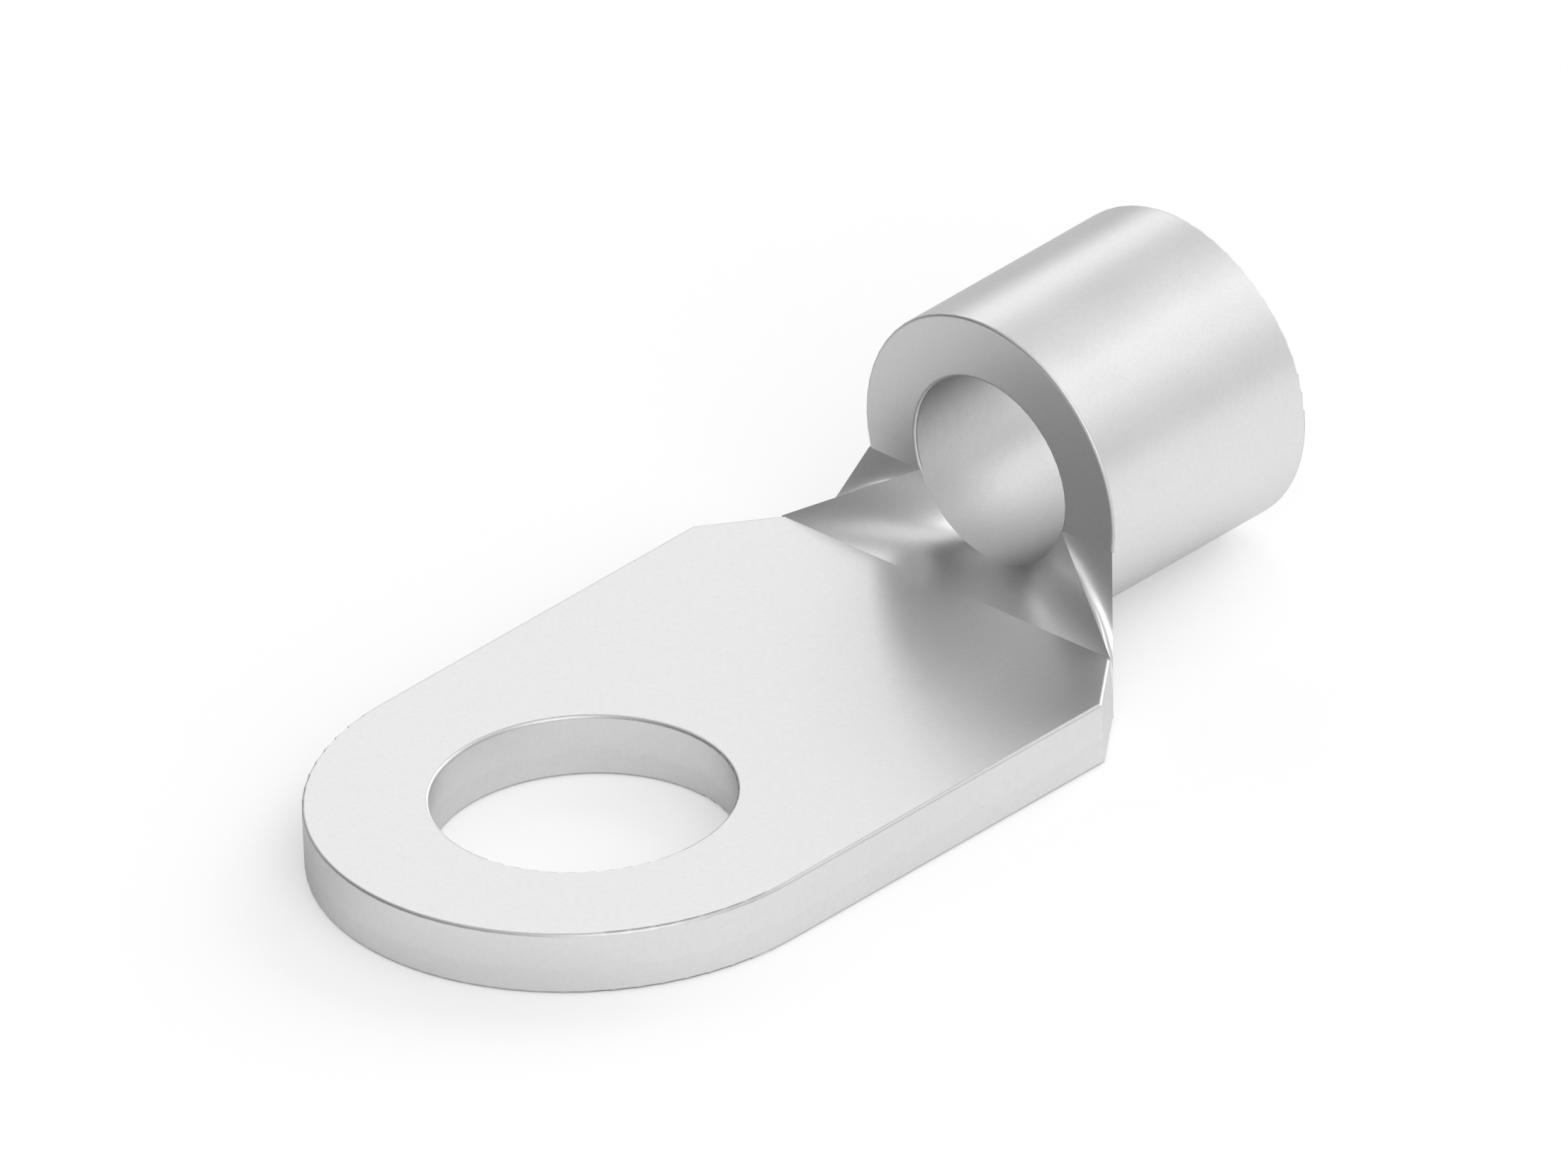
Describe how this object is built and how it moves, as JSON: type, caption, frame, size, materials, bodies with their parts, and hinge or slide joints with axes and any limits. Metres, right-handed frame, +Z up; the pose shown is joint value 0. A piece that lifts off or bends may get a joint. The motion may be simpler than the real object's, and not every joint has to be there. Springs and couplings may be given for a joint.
{
  "type": "ring terminal",
  "caption": "One-piece ring terminal with a flat round-ended tongue, a stud hole, a short flared neck and a round wire barrel.",
  "frame": {"origin": "on the axis of the stud hole, at the flat underside", "axes": "+X across the tongue, +Y from the stud hole towards the wire barrel, +Z up out of the flat underside"},
  "size_m": [0.0094, 0.0194, 0.0057],
  "materials": {
    "tinned_copper": "matt electro-tinned copper, fine grain, not polished"
  },
  "bodies": {
    "root": {"ring_terminal": "tinned_copper"}
  },
  "joints": []
}
